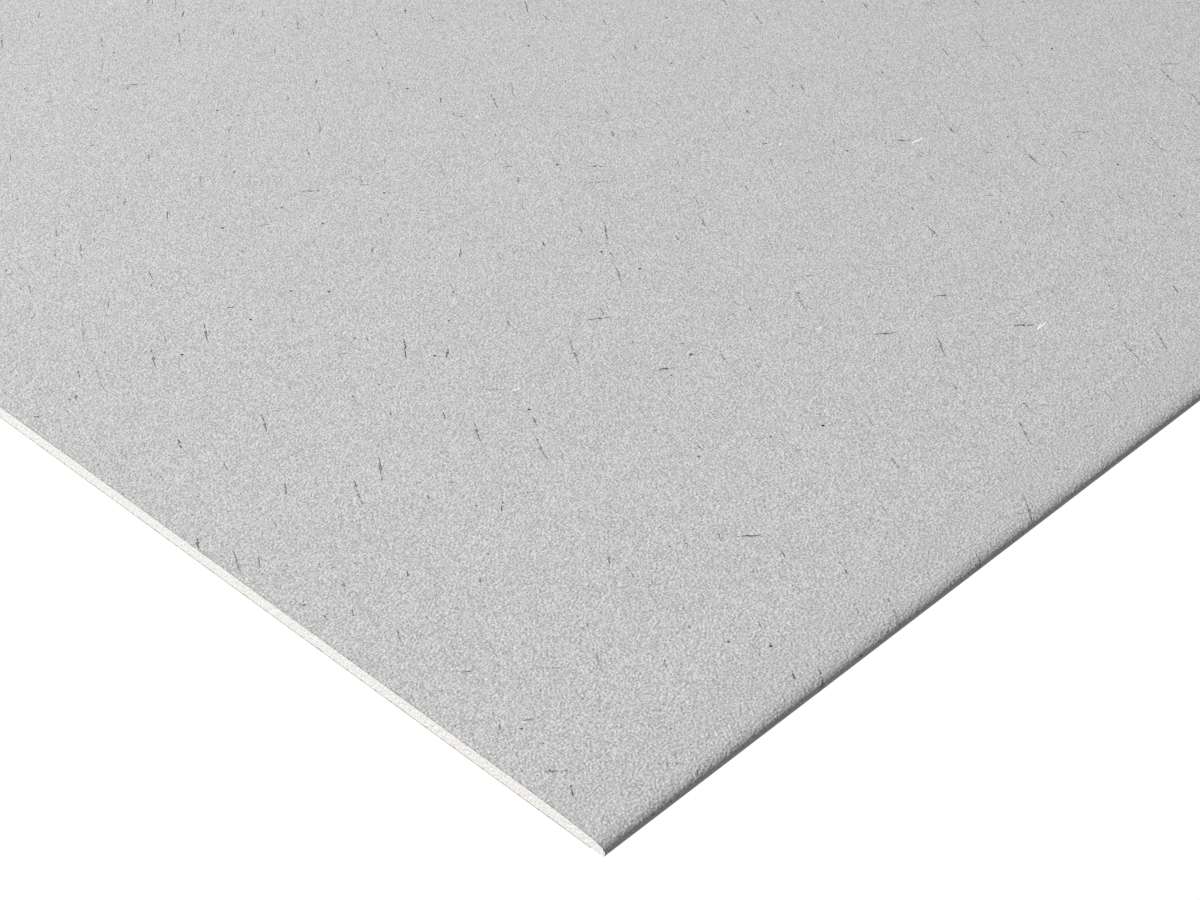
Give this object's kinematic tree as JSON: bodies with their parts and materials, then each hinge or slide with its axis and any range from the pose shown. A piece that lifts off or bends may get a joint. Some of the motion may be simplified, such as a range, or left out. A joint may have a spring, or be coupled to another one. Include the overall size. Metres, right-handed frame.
{
  "type": "drywall sheet",
  "caption": "Flat drywall sheet: gypsum core between a face paper that wraps both tapered, half-round long edges and a back paper. Cut square at the ends.",
  "frame": {"origin": "middle of the back of the sheet, on the plane it lies on", "axes": "+X along the sheet, +Y across it from long edge to long edge, +Z out of its face"},
  "size_m": [2, 1.25, 0.0095],
  "materials": {
    "gypsum_core": "matt cream gypsum, finely porous where it is cut",
    "face_paper": "matt light grey recycled paper, mottled, with loose dark fibres and specks",
    "back_paper": "matt warm grey liner paper, mottled, darker than the face"
  },
  "bodies": {
    "root": {"gypsum_core": "gypsum_core", "face_paper": "face_paper", "back_paper": "back_paper"}
  },
  "joints": []
}
